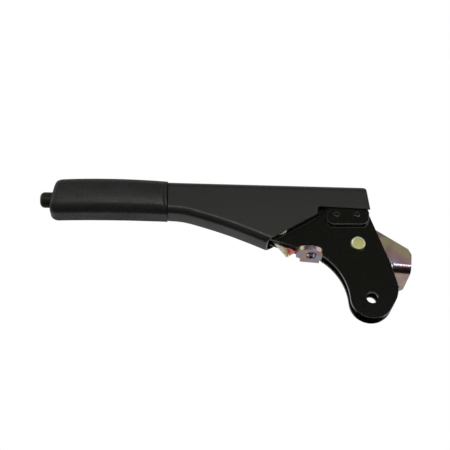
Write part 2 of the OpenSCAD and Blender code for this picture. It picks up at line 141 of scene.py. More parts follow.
@dataclass(frozen=True)
class Finish:
    """A finish: its name, base colour and gloss.

    Attributes:
        name: the material's name, after the real material and process.
        colour: the sRGB base colour.
        roughness: the mean roughness.
        metallic: 1 for bare or plated metal, else 0.
        specular: strength of the clear reflections, 0.5 for a polished surface.
    """

    name: str
    colour: str
    roughness: float
    metallic: float = 0.0
    specular: float = 0.5

    def material(self) -> bpy.types.Material:
        """Build the material, or find it again.

        Returns:
            The one material of this name.
        """
        found = bpy.data.materials.get(self.name)
        if found:
            return found
        material = bpy.data.materials.new(self.name)
        material.use_nodes = True
        tree = material.node_tree
        tree.nodes.clear()
        shader = add_node(
            tree,
            "ShaderNodeBsdfPrincipled",
            {
                "Base Color": linear(self.colour),
                "Roughness": self.roughness,
                "Metallic": self.metallic,
                "Specular IOR Level": self.specular,
            },
        )
        add_node(tree, "ShaderNodeOutputMaterial", {"Surface": shader.outputs[0]})
        place = add_node(tree, "ShaderNodeTexCoord").outputs["Object"]
        pattern = self.dress(tree, place)
        tree.links.new(pattern.colour, shader.inputs["Base Color"])
        tree.links.new(pattern.gloss, shader.inputs["Roughness"])
        tree.links.new(pattern.bump, shader.inputs["Normal"])
        return material

    def dress(self, tree: Tree, place: Socket) -> Pattern:
        """Draw the finish's own pattern.

        Args:
            tree: the material's node tree.
            place: the object coordinates, in metres.

        Returns:
            The pattern's outputs.
        """
        raise NotImplementedError


@dataclass(frozen=True)
class SatinPaint(Finish):
    """Satin black stoving paint on pressed sheet: even and soft, with orange peel and rubbed patches.

    Attributes:
        rubbed: the paler colour where hands and packing have rubbed it.
        peel_mm: width of one bump of the orange peel.
        patch_mm: size of the rubbed patches.
    """

    rubbed: str = "#232321"
    peel_mm: float = 1.1
    patch_mm: float = 38.0

    def dress(self, tree: Tree, place: Socket) -> Pattern:
        """Mottle the colour and gloss with rubbed patches, and add orange peel.

        Args:
            tree: the material's node tree.
            place: the object coordinates, in metres.

        Returns:
            The pattern's outputs.
        """
        patch = add_node(
            tree,
            "ShaderNodeTexNoise",
            {"Vector": place, "Scale": per_metre(self.patch_mm), "Detail": 5.0, "Roughness": 0.6},
        )
        share = add_node(
            tree,
            "ShaderNodeMapRange",
            {"Value": patch.outputs["Fac"], "From Min": 0.35, "From Max": 0.7},
            interpolation_type="SMOOTHSTEP",
        )
        tint = add_node(
            tree,
            "ShaderNodeMix",
            {0: share.outputs[0], 6: linear(self.colour), 7: linear(self.rubbed)},
            data_type="RGBA",
        )
        gloss = add_node(
            tree,
            "ShaderNodeMapRange",
            {
                "Value": patch.outputs["Fac"],
                "From Min": 0.3,
                "From Max": 0.7,
                "To Min": self.roughness + 0.05,
                "To Max": self.roughness - 0.05,
            },
        )
        peel = add_node(
            tree,
            "ShaderNodeTexNoise",
            {"Vector": place, "Scale": per_metre(self.peel_mm), "Detail": 2.0},
        )
        bump = add_node(
            tree,
            "ShaderNodeBump",
            {"Height": peel.outputs["Fac"], "Strength": 0.1, "Distance": 0.05 * MM},
        )
        return Pattern(tint.outputs[2], gloss.outputs[0], bump.outputs[0])


@dataclass(frozen=True)
class GlossPaint(Finish):
    """Dipped gloss black paint on thick plate: deep and wet, thin and grey where it left the edges; that
    grey is partly wear of the thin film and partly a painted highlight.

    Attributes:
        edge: the paler colour on sharp edges: partly thin-film wear, partly a painted highlight.
        edge_mm: how far from an edge the film is drawn thin and the painted highlight reaches.
        peel_mm: width of one soft bump of the dipped film.
        dust_mm: spacing of the fine dust in the film.
    """

    edge: str = "#a3a39c"
    edge_mm: float = 0.7
    peel_mm: float = 3.5
    dust_mm: float = 0.9

    def dress(self, tree: Tree, place: Socket) -> Pattern:
        """Pale the film along sharp edges, as wear and a painted highlight, and add its waves and dust.

        Args:
            tree: the material's node tree.
            place: the object coordinates, in metres.

        Returns:
            The pattern's outputs.
        """
        depth = add_node(
            tree,
            "ShaderNodeAmbientOcclusion",
            {"Distance": self.edge_mm * MM},
            inside=True,
            only_local=True,
        )
        edge = add_node(
            tree,
            "ShaderNodeMapRange",
            {"Value": depth.outputs["AO"], "From Min": 0.9, "From Max": 0.5},
            interpolation_type="SMOOTHSTEP",
        )
        dust = add_node(
            tree,
            "ShaderNodeTexNoise",
            {"Vector": place, "Scale": per_metre(self.dust_mm), "Detail": 3.0, "Roughness": 0.7},
        )
        # Painted highlight along convex edges, partly the thin film's wear, broken up by the dust
        worn = add_node(
            tree, "ShaderNodeMath", {0: edge.outputs[0], 1: dust.outputs["Fac"]}, operation="MULTIPLY"
        )
        tint = add_node(
            tree,
            "ShaderNodeMix",
            {0: worn.outputs[0], 6: linear(self.colour), 7: linear(self.edge)},
            data_type="RGBA",
        )
        gloss = add_node(
            tree,
            "ShaderNodeMapRange",
            {
                "Value": dust.outputs["Fac"],
                "From Min": 0.3,
                "From Max": 0.75,
                "To Min": self.roughness - 0.03,
                "To Max": self.roughness + 0.06,
            },
        )
        wave = add_node(
            tree,
            "ShaderNodeTexNoise",
            {"Vector": place, "Scale": per_metre(self.peel_mm), "Detail": 1.0},
        )
        bump = add_node(
            tree,
            "ShaderNodeBump",
            {"Height": wave.outputs["Fac"], "Strength": 0.06, "Distance": 0.05 * MM},
        )
        return Pattern(tint.outputs[2], gloss.outputs[0], bump.outputs[0])


@dataclass(frozen=True)
class YellowZinc(Finish):
    """Yellow-passivated zinc plate: bright metal under a film that drifts from straw to pink and lilac.

    Attributes:
        pink: the film where it is a little thicker.
        lilac: the film where it is thicker still.
        olive: the film where it pooled and dried; on the pawl this last colour is near white, a painted
            highlight.
        drift_mm: size of one patch of a colour.
        roll_mm: width of the rolling lines in the sheet below.
        film_and_highlight_shift: how fast the film's colour shifts by position along each axis, per metre;
            on the pawl it lays a painted highlight along one side.
        film_and_highlight_shift_at: the place where that shift leaves the film's colour as it is, in mm.
    """

    pink: str = "#c9a3a0"
    lilac: str = "#b9b1c4"
    olive: str = "#a8a184"
    drift_mm: float = 16.0
    roll_mm: float = 0.8
    film_and_highlight_shift: Point = (0.0, 0.0, 0.0)
    film_and_highlight_shift_at: Point = (0.0, 0.0, 0.0)

    def dress(self, tree: Tree, place: Socket) -> Pattern:
        """Drift the film's colour over the metal, cloud its gloss, and add faint rolling lines.

        Args:
            tree: the material's node tree.
            place: the object coordinates, in metres.

        Returns:
            The pattern's outputs.
        """
        drift = add_node(
            tree,
            "ShaderNodeTexNoise",
            {"Vector": place, "Scale": per_metre(self.drift_mm), "Detail": 1.0, "Distortion": 0.3},
        )
        beyond = add_node(
            tree,
            "ShaderNodeVectorMath",
            {0: place, 1: tuple(MM * at for at in self.film_and_highlight_shift_at)},
            operation="SUBTRACT",
        )
        # A shift of the film's colour by position; on the pawl it pushes one side to its near-white last
        # colour, a painted highlight
        position_shift = add_node(
            tree, "ShaderNodeVectorMath", {0: beyond.outputs[0], 1: self.film_and_highlight_shift}, operation="DOT_PRODUCT"
        )
        film = add_node(
            tree,
            "ShaderNodeMath",
            {0: drift.outputs["Fac"], 1: position_shift.outputs["Value"]},
            operation="ADD",
        )
        colour = linear(self.colour)
        steps = ((self.pink, 0.36, 0.48), (self.lilac, 0.48, 0.6), (self.olive, 0.6, 0.74))
        for code, low, high in steps:
            share = add_node(
                tree,
                "ShaderNodeMapRange",
                {"Value": film.outputs[0], "From Min": low, "From Max": high},
                interpolation_type="SMOOTHSTEP",
            )
            mix = add_node(
                tree,
                "ShaderNodeMix",
                {0: share.outputs[0], 6: colour, 7: linear(code)},
                data_type="RGBA",
            )
            colour = mix.outputs[2]
        cloud = add_node(
            tree,
            "ShaderNodeTexNoise",
            {"Vector": place, "Scale": per_metre(0.6 * self.drift_mm), "Detail": 0.5},
        )
        gloss = add_node(
            tree,
            "ShaderNodeMapRange",
            {
                "Value": cloud.outputs["Fac"],
                "From Min": 0.3,
                "From Max": 0.7,
                "To Min": self.roughness - 0.03,
                "To Max": self.roughness + 0.03,
            },
        )
        stretch = add_node(
            tree, "ShaderNodeVectorMath", {0: place, 1: Axis.X.value}, operation="MULTIPLY"
        )
        roll_length = self.roll_mm * LINE_STRETCH
        roll = add_node(
            tree,
            "ShaderNodeTexNoise",
            {"Vector": stretch.outputs[0], "Scale": per_metre(roll_length), "Detail": 2.0},
        )
        bump = add_node(
            tree,
            "ShaderNodeBump",
            {"Height": roll.outputs["Fac"], "Strength": 0.05, "Distance": 0.002 * MM},
        )
        return Pattern(colour, gloss.outputs[0], bump.outputs[0])


@dataclass(frozen=True)
class GrainedVinyl(Finish):
    """Soft vinyl moulded in a leather grain: small pebbles parted by shallow and duller creases, darkened
    with painted shade.

    Attributes:
        painted_crease_shade: the colour in the creases, a painted shade.
        pebble_mm: width of one pebble, drawn about twice as coarse as the real grain so that it shows.
        worn_to: the place along X up to which hands have worn the grain smooth, in mm.
        fade_mm: length over which the grain comes back.
        worn_grain: strength of the grain where it is worn.
        full_grain: strength of the grain where it is not.
        polish_mm: size of the patches that hands have polished.
        shine: how much smoother the pebbles are where the grain is unworn.
    """

    painted_crease_shade: str = "#121311"
    pebble_mm: float = 2.0
    worn_to: float = -215.0
    fade_mm: float = 35.0
    worn_grain: float = 0.06
    full_grain: float = 0.36
    polish_mm: float = 30.0
    shine: float = 0.2

    def dress(self, tree: Tree, place: Socket) -> Pattern:
        """Part the surface into pebbles, with the creases darkened as painted shade and the grain fading
        where hands rub it.

        Args:
            tree: the material's node tree.
            place: the object coordinates, in metres.

        Returns:
            The pattern's outputs.
        """
        wander = add_node(
            tree,
            "ShaderNodeTexNoise",
            {"Vector": place, "Scale": per_metre(self.pebble_mm * 2.5), "Detail": 2.0},
        )
        shift = add_node(
            tree,
            "ShaderNodeVectorMath",
            {0: wander.outputs["Color"], 1: (0.9 * self.pebble_mm * MM,) * 3},
            operation="MULTIPLY",
        )
        moved = add_node(
            tree, "ShaderNodeVectorMath", {0: place, 1: shift.outputs[0]}, operation="ADD"
        )
        pebble = add_node(
            tree,
            "ShaderNodeTexVoronoi",
            {"Vector": moved.outputs[0], "Scale": per_metre(self.pebble_mm)},
            feature="DISTANCE_TO_EDGE",
        )
        dome = add_node(
            tree,
            "ShaderNodeMapRange",
            {"Value": pebble.outputs["Distance"], "From Min": 0.0, "From Max": 0.22},
            interpolation_type="SMOOTHSTEP",
        )
        along = add_node(tree, "ShaderNodeSeparateXYZ", {"Vector": place})
        strength = add_node(
            tree,
            "ShaderNodeMapRange",
            {
                "Value": along.outputs["X"],
                "From Min": self.worn_to * MM,
                "From Max": (self.worn_to + self.fade_mm) * MM,
                "To Min": self.worn_grain,
                "To Max": self.full_grain,
            },
            interpolation_type="SMOOTHSTEP",
        )
        # Painted shade: the creases between the pebbles are drawn darker
        tint = add_node(
            tree,
            "ShaderNodeMix",
            {0: dome.outputs[0], 6: linear(self.painted_crease_shade), 7: linear(self.colour)},
            data_type="RGBA",
        )
        polish = add_node(
            tree,
            "ShaderNodeTexNoise",
            {"Vector": place, "Scale": per_metre(self.polish_mm), "Detail": 2.0},
        )
        smooth = add_node(
            tree,
            "ShaderNodeMapRange",
            {
                "Value": polish.outputs["Fac"],
                "From Min": 0.35,
                "From Max": 0.65,
                "To Min": self.roughness + 0.06,
                "To Max": self.roughness - 0.08,
            },
        )
        fresh = add_node(
            tree,
            "ShaderNodeMath",
            {0: strength.outputs[0], 1: -self.shine, 2: smooth.outputs[0]},
            operation="MULTIPLY_ADD",
        )
        gloss = add_node(
            tree,
            "ShaderNodeMapRange",
            {"Value": dome.outputs[0], "To Min": self.roughness + 0.15, "To Max": fresh.outputs[0]},
        )
        bump = add_node(
            tree,
            "ShaderNodeBump",
            {"Height": dome.outputs[0], "Strength": strength.outputs[0], "Distance": 0.12 * MM},
        )
        return Pattern(tint.outputs[2], gloss.outputs[0], bump.outputs[0])


@dataclass(frozen=True)
class MouldedPlastic(Finish):
    """Injection-moulded plastic from a spark-eroded mould: a fine even matt with faint flow marks.

    Attributes:
        flow: the slightly different colour of the flow marks.
        spark_mm: width of one pit of the mould's surface, drawn coarser than life so that it shows.
        flow_mm: width of the flow marks.
    """

    flow: str = "#2a2b23"
    spark_mm: float = 0.6
    flow_mm: float = 9.0

    def dress(self, tree: Tree, place: Socket) -> Pattern:
        """Tint the flow marks and pit the surface finely.

        Args:
            tree: the material's node tree.
            place: the object coordinates, in metres.

        Returns:
            The pattern's outputs.
        """
        flow = add_node(
            tree,
            "ShaderNodeTexNoise",
            {"Vector": place, "Scale": per_metre(self.flow_mm), "Detail": 3.0, "Distortion": 1.2},
        )
        tint = add_node(
            tree,
            "ShaderNodeMix",
            {0: flow.outputs["Fac"], 6: linear(self.colour), 7: linear(self.flow)},
            data_type="RGBA",
        )
        spark = add_node(
            tree,
            "ShaderNodeTexNoise",
            {"Vector": place, "Scale": per_metre(self.spark_mm), "Detail": 2.0},
        )
        gloss = add_node(
            tree,
            "ShaderNodeMapRange",
            {
                "Value": spark.outputs["Fac"],
                "From Min": 0.3,
                "From Max": 0.7,
                "To Min": self.roughness - 0.05,
                "To Max": self.roughness + 0.08,
            },
        )
        bump = add_node(
            tree,
            "ShaderNodeBump",
            {"Height": spark.outputs["Fac"], "Strength": 0.15, "Distance": 0.04 * MM},
        )
        return Pattern(tint.outputs[2], gloss.outputs[0], bump.outputs[0])


@dataclass(frozen=True)
class DrawnMetal(Finish):
    """Cold-drawn or turned metal: fine lines along the way it was drawn, and a little tarnish.

    Attributes:
        tarnish: the duller colour of the tarnish.
        lines: the axis that the lines run along.
        line_mm: spacing of the lines.
        tarnish_mm: size of the tarnished patches.
    """

    tarnish: str = "#6e6c68"
    lines: Axis = Axis.X
    line_mm: float = 0.5
    tarnish_mm: float = 7.0

    def dress(self, tree: Tree, place: Socket) -> Pattern:
        """Draw the lines into gloss and bump, and dull the patches.

        Args:
            tree: the material's node tree.
            place: the object coordinates, in metres.

        Returns:
            The pattern's outputs.
        """
        stretch = add_node(
            tree, "ShaderNodeVectorMath", {0: place, 1: self.lines.value}, operation="MULTIPLY"
        )
        line_length = self.line_mm * LINE_STRETCH
        line = add_node(
            tree,
            "ShaderNodeTexNoise",
            {"Vector": stretch.outputs[0], "Scale": per_metre(line_length), "Detail": 3.0},
        )
        patch = add_node(
            tree,
            "ShaderNodeTexNoise",
            {"Vector": place, "Scale": per_metre(self.tarnish_mm), "Detail": 4.0},
        )
        tint = add_node(
            tree,
            "ShaderNodeMix",
            {0: patch.outputs["Fac"], 6: linear(self.colour), 7: linear(self.tarnish)},
            data_type="RGBA",
        )
        gloss = add_node(
            tree,
            "ShaderNodeMapRange",
            {
                "Value": line.outputs["Fac"],
                "From Min": 0.3,
                "From Max": 0.7,
                "To Min": self.roughness - 0.06,
                "To Max": self.roughness + 0.12,
            },
        )
        bump = add_node(
            tree,
            "ShaderNodeBump",
            {"Height": line.outputs["Fac"], "Strength": 0.1, "Distance": 0.03 * MM},
        )
        return Pattern(tint.outputs[2], gloss.outputs[0], bump.outputs[0])


# Stoved paint on a pressing scatters the light, so the handle reads as an even dark grey
SATIN_BLACK = SatinPaint("satin_black_stoved_paint", "#1d1d1b", 0.36)
# A dipped film is smooth, so the plates read as black with thin bright lines on their edges, which are
# partly reflections and partly a painted highlight
GLOSS_BLACK = GlossPaint("gloss_black_dipped_paint", "#12120f", 0.12)
# On a weld the film stays thick, so its edge is not paler and carries no painted highlight
WELD_BLACK = GlossPaint("gloss_black_paint_on_weld", "#131310", 0.16, edge="#20201d")
# The passivated film tints the metal's own reflections
YELLOW_ZINC = YellowZinc("yellow_passivated_zinc_plate", "#cdbf9c", 0.3, 1.0)
# Rivets are barrel-plated, so their film is thinner, greener and duller
RIVET_ZINC = YellowZinc(
    "barrel_plated_zinc",
    "#dfdf86",
    0.42,
    1.0,
    pink="#d9d89a",
    lilac="#e4e4cc",
    olive="#b4b864",
    drift_mm=6.0,
)
# A near-white zinc on the rivets' rolled rims and the pawl pin is a painted highlight, which shows as a
# pale ring
PAINTED_HIGHLIGHT_ZINC = YellowZinc(
    "zinc_with_painted_highlight",
    "#f6f6d8",
    0.5,
    1.0,
    pink="#f3f3cf",
    lilac="#fafae8",
    olive="#ececb8",
    drift_mm=6.0,
)
# The hardened pawl took a thicker film, which shows as strong yellow and crimson; the shift by position
# lays its near-white last colour along one side as a painted highlight
PAWL_ZINC = YellowZinc(
    "thick_film_zinc_with_painted_highlight",
    "#d8355e",
    0.34,
    1.0,
    pink="#e0a890",
    lilac="#f1ec8a",
    olive="#fffdf2",
    drift_mm=9.0,
    film_and_highlight_shift=(-44.0, 0.0, -40.0),
    film_and_highlight_shift_at=(-65.5, 0.0, 18.7),
)
# Soft vinyl is a duller and warmer grey than the paint beside it
GRAINED_VINYL = GrainedVinyl("leather_grained_moulded_vinyl", "#20211e", 0.44)
# A hard moulding with a faint olive cast
BUTTON_PLASTIC = MouldedPlastic(
    "black_moulded_polypropylene", "#13140c", 0.44, specular=0.33, flow="#1a1b10"
)
# Undyed nylon is milky
NYLON = MouldedPlastic("natural_moulded_nylon", "#b9b6aa", 0.45, specular=0.4, flow="#aaa698")
# Drawn rod and wire shine along their length
DRAWN_STEEL = DrawnMetal("bright_drawn_steel", "#9b9a97", 0.28, 1.0)
# Washers are stamped, so their lines run across the lever
STAMPED_STEEL = DrawnMetal("stamped_steel", "#a2a09b", 0.32, 1.0, lines=Axis.Y)
# Oil-filled bearing bronze is dull and brown
BEARING_BRONZE = DrawnMetal(
    "sintered_bearing_bronze", "#a5773f", 0.42, 1.0, tarnish="#6b4a26", line_mm=0.8
)


def new_piece(name: str, mesh: bpy.types.Mesh, finish: Finish) -> bpy.types.Object:
    """Put a finished mesh into the scene.

    Args:
        name: the piece's name.
        mesh: its mesh, in the row frame.
        finish: its finish.

    Returns:
        The new object.
    """
    mesh.shade_smooth()
    mesh.materials.clear()
    mesh.materials.append(finish.material())
    piece = bpy.data.objects.new(name, mesh)
    bpy.context.scene.collection.objects.link(piece)
    return piece


def ring_mesh(name: str, rings: np.ndarray, closed: bool) -> bpy.types.Mesh:
    """Skin rings of points with quads.

    Args:
        name: the mesh's name.
        rings: an array of rings, points and coordinates in metres.
        closed: True where the last ring joins the first one, else both ends are capped.

    Returns:
        The mesh, facing outwards.
    """
    count, around = rings.shape[:2]
    work = bmesh.new()
    grid = [[work.verts.new(point) for point in ring] for ring in rings]
    for i in range(count if closed else count - 1):
        here, there = grid[i], grid[(i + 1) % count]
        for j in range(around):
            k = (j + 1) % around
            work.faces.new((here[j], here[k], there[k], there[j]))
    if not closed:
        work.faces.new(grid[0][::-1])
        work.faces.new(grid[-1])
    bmesh.ops.recalc_face_normals(work, faces=work.faces)
    mesh = bpy.data.meshes.new(name)
    work.to_mesh(mesh)
    work.free()
    return mesh


@dataclass
class SubAssembly:
    """Pieces that ride on one body, with the edge rounding that their making leaves.

    Attributes:
        body: the CAD body that they ride on.
    """

    body: str

    # Points closer than this are one point
    MERGE = 0.002 * MM
    # Faces that meet at less than this angle are one flat
    FLAT = math.radians(0.2)
    # Edges whose faces meet at more than this angle are rounded
    SHARP = math.radians(32)
    # Edges that meet at this angle or more run on as one
    STRAIGHT = math.radians(150)
    # Share of the rounding that a cut edge has beside a pressed one
    CUT_SHARE = 0.4
    # Share of a short run of edges that the rounding at its corner may take up
    CORNER_SHARE = 0.4
    # A run is long enough for its corner at this many times the rounding
    LONG_RUN = 3
    # How much the large faces outweigh the rounded edges in the shading
    FLAT_WEIGHT = 80

    def skin(
        self, node: str, finish: Finish, edge_mm: float, segments: int = 3, pressed_y: float = 0.0
    ) -> bpy.types.Object:
        """Dress a CAD node: the same form, with its sharp edges rounded and its flats shaded flat.

        Args:
            node: the CAD node that the new piece stands for.
            finish: the piece's finish.
            edge_mm: radius of its edges, or 0 to leave them.
            segments: steps in each rounded edge.
            pressed_y: edges this far from the mid-plane are pressed, and take the full radius.

        Returns:
            The new piece, which replaces the node.
        """
        work = bmesh.new()
        work.from_mesh(frame["nodes"][node].data)
        bmesh.ops.remove_doubles(work, verts=work.verts, dist=self.MERGE)
        bmesh.ops.dissolve_limit(work, angle_limit=self.FLAT, verts=work.verts, edges=work.edges)
        if edge_mm:
            self.weigh_edges(work, edge_mm * MM, pressed_y * MM)
        mesh = bpy.data.meshes.new(node)
        work.to_mesh(mesh)
        work.free()
        piece = new_piece(node + "_dressed", mesh, finish)
        if edge_mm:
            bevel = piece.modifiers.new("rounded_edges", "BEVEL")
            bevel.width = edge_mm * MM
            bevel.segments = segments
            bevel.limit_method = "WEIGHT"
            bevel.use_clamp_overlap = False
            flats = piece.modifiers.new("flat_faces", "WEIGHTED_NORMAL")
            flats.weight = self.FLAT_WEIGHT
        self.settle(piece, node)
        return piece

    def weigh_edges(self, work: bmesh.types.BMesh, width: float, pressed_y: float) -> None:
        """Give each sharp edge its share of the rounding, less where a short run ends at a corner.

        Args:
            work: the mesh.
            width: the full rounding, in metres.
            pressed_y: distance from the mid-plane from which edges take the full rounding, in metres.
        """
        layer = work.edges.layers.float.new("bevel_weight_edge")
        sharp = {e for e in work.edges if len(e.link_faces) == 2 and e.calc_face_angle(0) > self.SHARP}
        limits = {}
        for edge in sharp:
            pressed = min(abs(vert.co.y) for vert in edge.verts) >= pressed_y
            limit = width if pressed else self.CUT_SHARE * width
            for vert in edge.verts:
                for other in vert.link_edges:
                    if other is not edge and other in sharp and not self.in_line(vert, edge, other):
                        runs = [self.run(vert, first, sharp, width) for first in (edge, other)]
                        limit = min(limit, self.CORNER_SHARE * min(runs))
            limits[edge] = limit
        self.even_out(limits)
        for edge, limit in limits.items():
            edge[layer] = limit / width

    def even_out(self, limits: dict[Edge, float]) -> None:
        """Give every edge of a nearly straight run the least rounding in it.

        Args:
            limits: the rounding of each sharp edge, which is changed in place.
        """
        waiting = list(limits)
        while waiting:
            edge = waiting.pop()
            for vert in edge.verts:
                for other in vert.link_edges:
                    larger = other in limits and limits[other] > limits[edge]
                    if larger and self.in_line(vert, edge, other):
                        limits[other] = limits[edge]
                        waiting.append(other)

    def in_line(self, vert: bmesh.types.BMVert, one: Edge, other: Edge) -> bool:
        """Tell whether two edges run on nearly straight through a point."""
        along, away = one.other_vert(vert).co - vert.co, other.other_vert(vert).co - vert.co
        return not along.length or not away.length or along.angle(away) >= self.STRAIGHT

    def run(self, vert: bmesh.types.BMVert, edge: Edge, sharp: set[Edge], width: float) -> float:
        """Measure a run of nearly straight sharp edges from a point.

        Args:
            vert: the point.
            edge: the run's first edge.
            sharp: the sharp edges.
            width: the full rounding, in metres.

        Returns:
            The run's length in metres, as far as it matters for the rounding.
        """
        length = edge.calc_length()
        while length < self.LONG_RUN * width:
            vert = edge.other_vert(vert)
            others = [e for e in vert.link_edges if e is not edge and e in sharp]
            onward = [e for e in others if self.in_line(vert, edge, e)]
            if not onward:
                break
            edge = onward[0]
            length += edge.calc_length()
        return length

    def settle(self, piece: bpy.types.Object, *nodes: str) -> None:
        """Let a piece ride on the body, in place of the CAD nodes that it stands for.

        Args:
            piece: the piece.
            nodes: the nodes that it replaces, if any.
        """
        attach(piece, self.body)
        if nodes:
            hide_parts(*nodes)
        log.info("%s rides on %s", piece.name, self.body)


@dataclass
class Bracket(SubAssembly):
    """The toothed bracket that is bolted down, with the bush in its pivot hole.

    Attributes:
        sheared_edge: rounding of the blanked sheet's edges.
        bush_edge: rounding of the bush's edges.
    """

    body: str = "bracket"
    sheared_edge: float = 0.5
    bush_edge: float = 0.2

    def build(self) -> None:
        """Dress the bracket and its bush."""
        self.skin("mounting_bracket", YELLOW_ZINC, self.sheared_edge)
        self.skin("pivot_bush", BEARING_BRONZE, self.bush_edge)


@dataclass
class SidePlates(SubAssembly):
    """The two painted plates with their pads, and the rivets, washers and spacers through them.

    Attributes:
        pressed_edge: rounding of the pressed pads' edges.
        pressed_steps: steps in that rounding.
        pressed_depth: edges that are no further than this below a pad's face are pressed ones.
        stamped_edge: rounding of the thrust washers' and spacers' edges.
        washer_edge: rounding of the rivet washer's edges.
        rivet_edge: rounding of the rivets' edges.
        weld_at: the spot welds on each pad, in X and Z.
        weld: a spot weld's profile, as radius and height: a low ring around a dished print.
        weld_wobble: how uneven a weld's rings are, as a share of their radius.
        rims: each rivet's short name, node and joint, and the size of its rims beside the profile's.
        rim: a head's profile, as radius and height: the rim that the setting tool rolled up.
        rim_sunk: how far a rim is sunk into its head's face.
        rim_wobble: how uneven a rim's rings are, as a share of their radius.
        points: points in each ring of a weld or rim.
    """

    body: str = "lever"
    pressed_edge: float = 1.3
    pressed_steps: int = 4
    pressed_depth: float = 0.1
    stamped_edge: float = 0.2
    washer_edge: float = 0.25
    rivet_edge: float = 0.3
    weld_at: Pairs = ((-19.5, 44.05), (-2.2, 45.45))
    weld: Pairs = ((3.0, -0.3), (2.8, 0.02), (2.1, 0.12), (1.5, 0.1), (1.0, -0.02), (0.5, -0.05))
    weld_wobble: float = 0.07
    rims: tuple[tuple[str, str, str, float], ...] = (
        ("rivet", "pivot_rivet", "lever_pivot", 1.0),
        ("pawl", "pawl_pin", "pawl_pivot", 1.18),
    )
    rim: Pairs = (
        (5.9, -0.4),
        (5.85, 0.05),
        (5.65, 0.35),
        (5.35, 0.5),
        (5.05, 0.42),
        (4.75, 0.15),
        (4.5, -0.06),
        (2.0, -0.1),
    )
    rim_sunk: float = 0.01
    rim_wobble: float = 0.004
    points: int = 56

    def build(self) -> None:
        """Dress the plates and what is riveted through them."""
        pad_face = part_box("far_side_plate")[1].y / MM
        pressed_y = pad_face - self.pressed_depth
        for side in ("near", "far"):
            plate = f"{side}_side_plate"
            self.skin(plate, GLOSS_BLACK, self.pressed_edge, self.pressed_steps, pressed_y)
            self.skin(f"{side}_thrust_washer", STAMPED_STEEL, self.stamped_edge)
            self.skin(f"{side}_pawl_spacer", STAMPED_STEEL, self.stamped_edge)
        self.skin("pivot_rivet", RIVET_ZINC, self.rivet_edge)
        # Painted highlight: the pawl pin is given the near-white zinc
        self.skin("pawl_pin", PAINTED_HIGHLIGHT_ZINC, self.rivet_edge)
        self.skin("rivet_washer", STAMPED_STEEL, self.washer_edge)
        for number, (x, z) in enumerate(self.weld_at, 1):
            for side, face in (("near", -pad_face), ("far", pad_face)):
                name = f"{side}_spot_weld_{number}"
                weld = self.swell(name, (x, face, z), self.weld, self.weld_wobble, WELD_BLACK)
        for short, node, pivot, size in self.rims:
            self.roll_rims(short, node, pivot, size)

    def roll_rims(self, short: str, node: str, pivot: str, size: float) -> None:
        """Roll up the rims of both heads of a rivet.

        Args:
            short: the rivet's short name.
            node: its CAD node.
            pivot: the joint on its axis.
            size: size of its rims beside the profile's.
        """
        x, _, z = (place / MM for place in joint(pivot)["pos_m"])
        low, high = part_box(node)
        profile = tuple((size * radius, height) for radius, height in self.rim)
        near, far = low.y / MM + self.rim_sunk, high.y / MM - self.rim_sunk
        for side, face in (("near", near), ("far", far)):
            name = f"{side}_{short}_rim"
            # Painted highlight: the rims are given the near-white zinc
            rim = self.swell(name, (x, face, z), profile, self.rim_wobble, PAINTED_HIGHLIGHT_ZINC)

    def swell(
        self, name: str, place: Point, profile: Pairs, wobble: float, finish: Finish
    ) -> bpy.types.Object:
        """Raise a round swelling on a face that looks along Y.

        Args:
            name: the piece's name.
            place: its middle on the face, in mm.
            profile: the radius and height of each ring from the outside in, in mm.
            wobble: how uneven its rings are, as a share of their radius.
            finish: its finish.

        Returns:
            The new piece.
        """
        x, face, z = place
        around = np.linspace(0, 2 * math.pi, self.points, endpoint=False)
        # Two waves of three and five crests around, which differ from place to place
        uneven = 1 + wobble * (np.sin(3 * around + x) + 0.7 * np.sin(5 * around + z))
        rings = []
        for radius, height in profile:
            across = radius * uneven * np.cos(around)
            up = radius * uneven * np.sin(around)
            y = np.full_like(around, face + math.copysign(height, face * height))
            rings.append(np.stack([x + across, y, z + up], axis=1))
        piece = new_piece(name, ring_mesh(name, np.array(rings) * MM, False), finish)
        self.settle(piece)
        return piece


